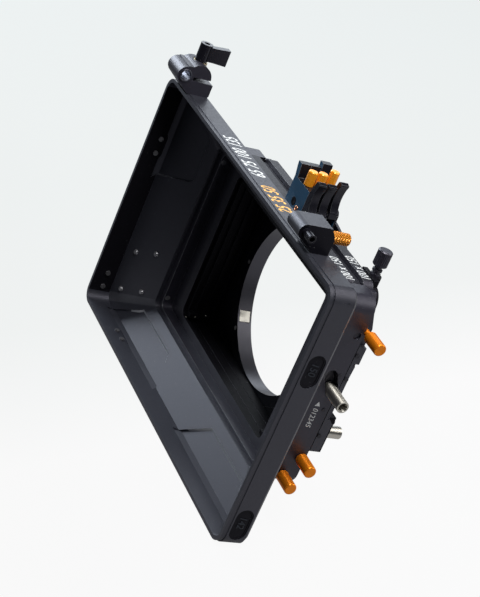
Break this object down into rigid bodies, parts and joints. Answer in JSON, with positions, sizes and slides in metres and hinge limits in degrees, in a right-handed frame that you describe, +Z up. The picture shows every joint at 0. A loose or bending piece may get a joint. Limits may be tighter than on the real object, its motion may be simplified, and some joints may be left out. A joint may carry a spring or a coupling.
{
  "type": "matte box",
  "caption": "Matte box: flared lens hood, tray housing with sliding filter trays, catch levers, side knobs and a clamp-on ring for the lens.",
  "frame": {"origin": "centre of the lens bore on the rear face of the lens ring", "axes": "+Z up, +Y along the optical axis from the hood to the lens, +X to the side with the knobs"},
  "size_m": [0.282, 0.0923, 0.2122],
  "materials": {
    "black_anodised": "matt black anodised aluminium, fine bead blast",
    "soft_black": "satin black anodised aluminium",
    "navy_anodised": "satin blue-black anodised aluminium",
    "orange_anodised": "bright orange anodised aluminium",
    "stainless": "turned stainless steel",
    "screw_black": "black oxide steel",
    "screw_steel": "plain steel",
    "washer": "aged brass"
  },
  "bodies": {
    "root": {"hood_shell": "black_anodised", "hood_rivets": "screw_black", "flag_plate_right_upper": "black_anodised", "flag_plate_right_lower": "black_anodised", "flag_plate_left_upper": "black_anodised", "flag_plate_left_lower": "black_anodised", "flag_plate_bottom": "black_anodised", "flag_plate_screws": "screw_black", "throat_frame": "black_anodised", "throat_screws": "screw_steel", "tray_housing": "soft_black", "side_screws": "screw_black", "rear_bulkhead": "black_anodised", "bulkhead_screws": "screw_black", "lens_ring": "soft_black", "ring_screws": "screw_steel", "rear_pin": "stainless", "guide_rail_right": "black_anodised", "guide_rail_left": "black_anodised", "rail_screws": "screw_black", "left_flag_clamp": "black_anodised", "left_flag_pin": "stainless", "lever_washer": "washer", "left_clamp_screws": "screw_black", "right_flag_block": "black_anodised", "right_flag_rod": "soft_black", "right_block_screws": "screw_black"},
    "tray_1": {"filter_tray_1": "soft_black", "lever_pivot_1": "stainless"},
    "catch_lever_1": {"catch_lever_1": "navy_anodised"},
    "catch_pin_1": {"catch_pin_1": "orange_anodised"},
    "stage_knob_1": {"stage_knob_1": "orange_anodised"},
    "tray_2": {"filter_tray_2": "black_anodised", "lever_pivot_2": "stainless"},
    "catch_lever_2": {"catch_lever_2": "navy_anodised"},
    "catch_pin_2": {"catch_pin_2": "orange_anodised"},
    "stage_knob_2": {"stage_knob_2": "orange_anodised"},
    "tray_3": {"filter_tray_3": "soft_black", "lever_pivot_3": "stainless"},
    "catch_lever_3": {"catch_lever_3": "navy_anodised"},
    "catch_pin_3": {"catch_pin_3": "orange_anodised"},
    "stage_knob_3": {"stage_knob_3": "orange_anodised"},
    "release_pin": {"release_pin": "stainless"},
    "lock_thumbscrew": {"lock_thumbscrew": "black_anodised"},
    "right_flag_screw": {"right_flag_screw": "orange_anodised"},
    "clamp_shoe": {"clamp_shoe": "stainless"},
    "clamp_screw": {"clamp_screw": "black_anodised"},
    "left_clamp_lever": {"left_clamp_lever": "black_anodised"}
  },
  "joints": [
    {"name": "tray_1_slide", "type": "slide", "parent": "root", "child": "tray_1", "axis": [0, 0, 1], "range_m": [0, 0.11]},
    {"name": "catch_lever_1_turn", "type": "hinge", "parent": "tray_1", "child": "catch_lever_1", "pos_m": [0.0128, -0.02935, 0.0755], "axis": [0, 1, 0], "range_deg": [0, 16], "stiffness_Nm_per_rad": 0.05, "springref_deg": -8.59},
    {"name": "catch_pin_1_pull", "type": "slide", "parent": "tray_1", "child": "catch_pin_1", "axis": [0, 0, 1], "range_m": [0, 0.004], "stiffness_N_per_m": 300, "springref_m": -0.002},
    {"name": "stage_knob_1_turn", "type": "hinge", "parent": "root", "child": "stage_knob_1", "pos_m": [0.102, -0.02885, -0.0595], "axis": [1, 0, 0], "range_deg": [0, 360]},
    {"name": "tray_2_slide", "type": "slide", "parent": "root", "child": "tray_2", "axis": [0, 0, 1], "range_m": [0, 0.11]},
    {"name": "catch_lever_2_turn", "type": "hinge", "parent": "tray_2", "child": "catch_lever_2", "pos_m": [0.0128, -0.02195, 0.0755], "axis": [0, 1, 0], "range_deg": [0, 16], "stiffness_Nm_per_rad": 0.05, "springref_deg": -8.59},
    {"name": "catch_pin_2_pull", "type": "slide", "parent": "tray_2", "child": "catch_pin_2", "axis": [0, 0, 1], "range_m": [0, 0.004], "stiffness_N_per_m": 300, "springref_m": -0.002},
    {"name": "stage_knob_2_turn", "type": "hinge", "parent": "root", "child": "stage_knob_2", "pos_m": [0.102, -0.02085, -0.046], "axis": [1, 0, 0], "range_deg": [0, 360]},
    {"name": "tray_3_slide", "type": "slide", "parent": "root", "child": "tray_3", "axis": [0, 0, 1], "range_m": [0, 0.11]},
    {"name": "catch_lever_3_turn", "type": "hinge", "parent": "tray_3", "child": "catch_lever_3", "pos_m": [0.0128, -0.01455, 0.0785], "axis": [0, 1, 0], "range_deg": [0, 16], "stiffness_Nm_per_rad": 0.05, "springref_deg": -8.59},
    {"name": "catch_pin_3_pull", "type": "slide", "parent": "tray_3", "child": "catch_pin_3", "axis": [0, 0, 1], "range_m": [0, 0.004], "stiffness_N_per_m": 300, "springref_m": -0.002},
    {"name": "stage_knob_3_turn", "type": "hinge", "parent": "root", "child": "stage_knob_3", "pos_m": [0.102, -0.01605, 0.0465], "axis": [1, 0, 0], "range_deg": [0, 360]},
    {"name": "release_pin_slide", "type": "slide", "parent": "root", "child": "release_pin", "axis": [0, -0.454, 0.891], "range_m": [0, 0.012]},
    {"name": "lock_thumbscrew_turn", "type": "hinge", "parent": "root", "child": "lock_thumbscrew", "pos_m": [0.0705, -0.0061, 0.07], "axis": [0, 0, 1], "range_deg": [0, 540]},
    {"name": "left_clamp_lever_turn", "type": "hinge", "parent": "root", "child": "left_clamp_lever", "pos_m": [-0.1215, -0.0699, 0.11], "axis": [0, 0, 1], "range_deg": [-20, 120]},
    {"name": "right_flag_screw_turn", "type": "hinge", "parent": "root", "child": "right_flag_screw", "pos_m": [0.09045, -0.0613, 0.0982], "axis": [0, 1, 0], "range_deg": [0, 540]},
    {"name": "clamp_screw_turn", "type": "hinge", "parent": "root", "child": "clamp_screw", "pos_m": [-0.0559, -0.0024, -0.04213], "axis": [-0.7986, 0, -0.6018], "range_deg": [0, 540]},
    {"name": "clamp_shoe_press", "type": "slide", "parent": "root", "child": "clamp_shoe", "axis": [0.7986, 0, 0.6018], "range_m": [0, 0.001]}
  ]
}
